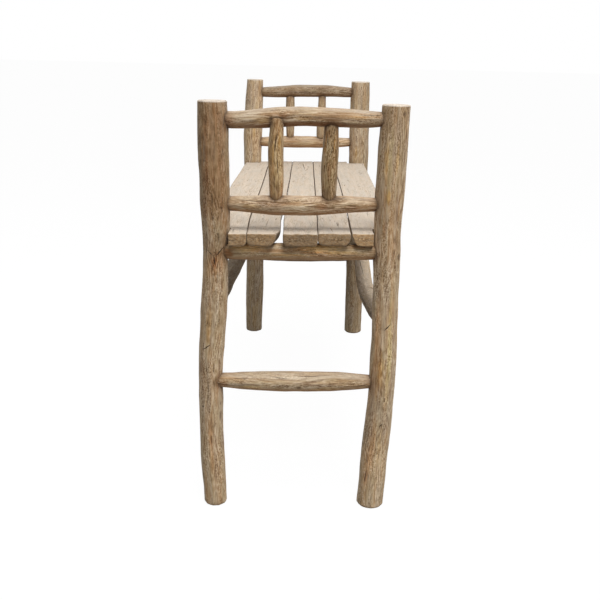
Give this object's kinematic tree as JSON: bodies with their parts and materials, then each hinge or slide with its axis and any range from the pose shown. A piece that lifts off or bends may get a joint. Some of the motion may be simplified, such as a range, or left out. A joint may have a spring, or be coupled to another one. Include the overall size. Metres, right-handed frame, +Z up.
{
  "type": "rustic log bench",
  "caption": "Bench of crooked peeled logs: sawn waney planks for a seat between two log end frames, each with a low arm rail on spindles.",
  "frame": {"origin": "on the floor, under the middle of the bench's bounding box", "axes": "+X along the seat towards its right end (the end nearest in the picture), +Y across the seat towards the back, +Z up"},
  "size_m": [1.0849, 0.3439, 0.704],
  "materials": {
    "log_wood": "weathered peeled log, matte",
    "rail_wood": "peeled and shaved pole, matte",
    "seat_wood": "weathered sawn plank, matte",
    "screw_steel": "dull weathered zinc"
  },
  "bodies": {
    "root": {"right_front_post": "log_wood", "right_back_post": "log_wood", "left_front_post": "log_wood", "left_back_post": "log_wood", "right_arm_rail": "rail_wood", "left_arm_rail": "rail_wood", "right_lower_arm_rail": "rail_wood", "left_lower_arm_rail": "rail_wood", "right_front_spindle": "rail_wood", "right_back_spindle": "rail_wood", "left_front_spindle": "rail_wood", "left_back_spindle": "rail_wood", "right_seat_bearer": "rail_wood", "left_seat_bearer": "rail_wood", "right_stretcher": "rail_wood", "left_stretcher": "rail_wood", "front_side_stretcher": "rail_wood", "back_side_stretcher": "rail_wood", "seat_plank_1": "seat_wood", "seat_plank_2": "seat_wood", "seat_plank_3": "seat_wood", "seat_plank_4": "seat_wood", "seat_plank_5": "seat_wood", "seat_screws": "screw_steel", "bearer_screws": "screw_steel"}
  },
  "joints": []
}
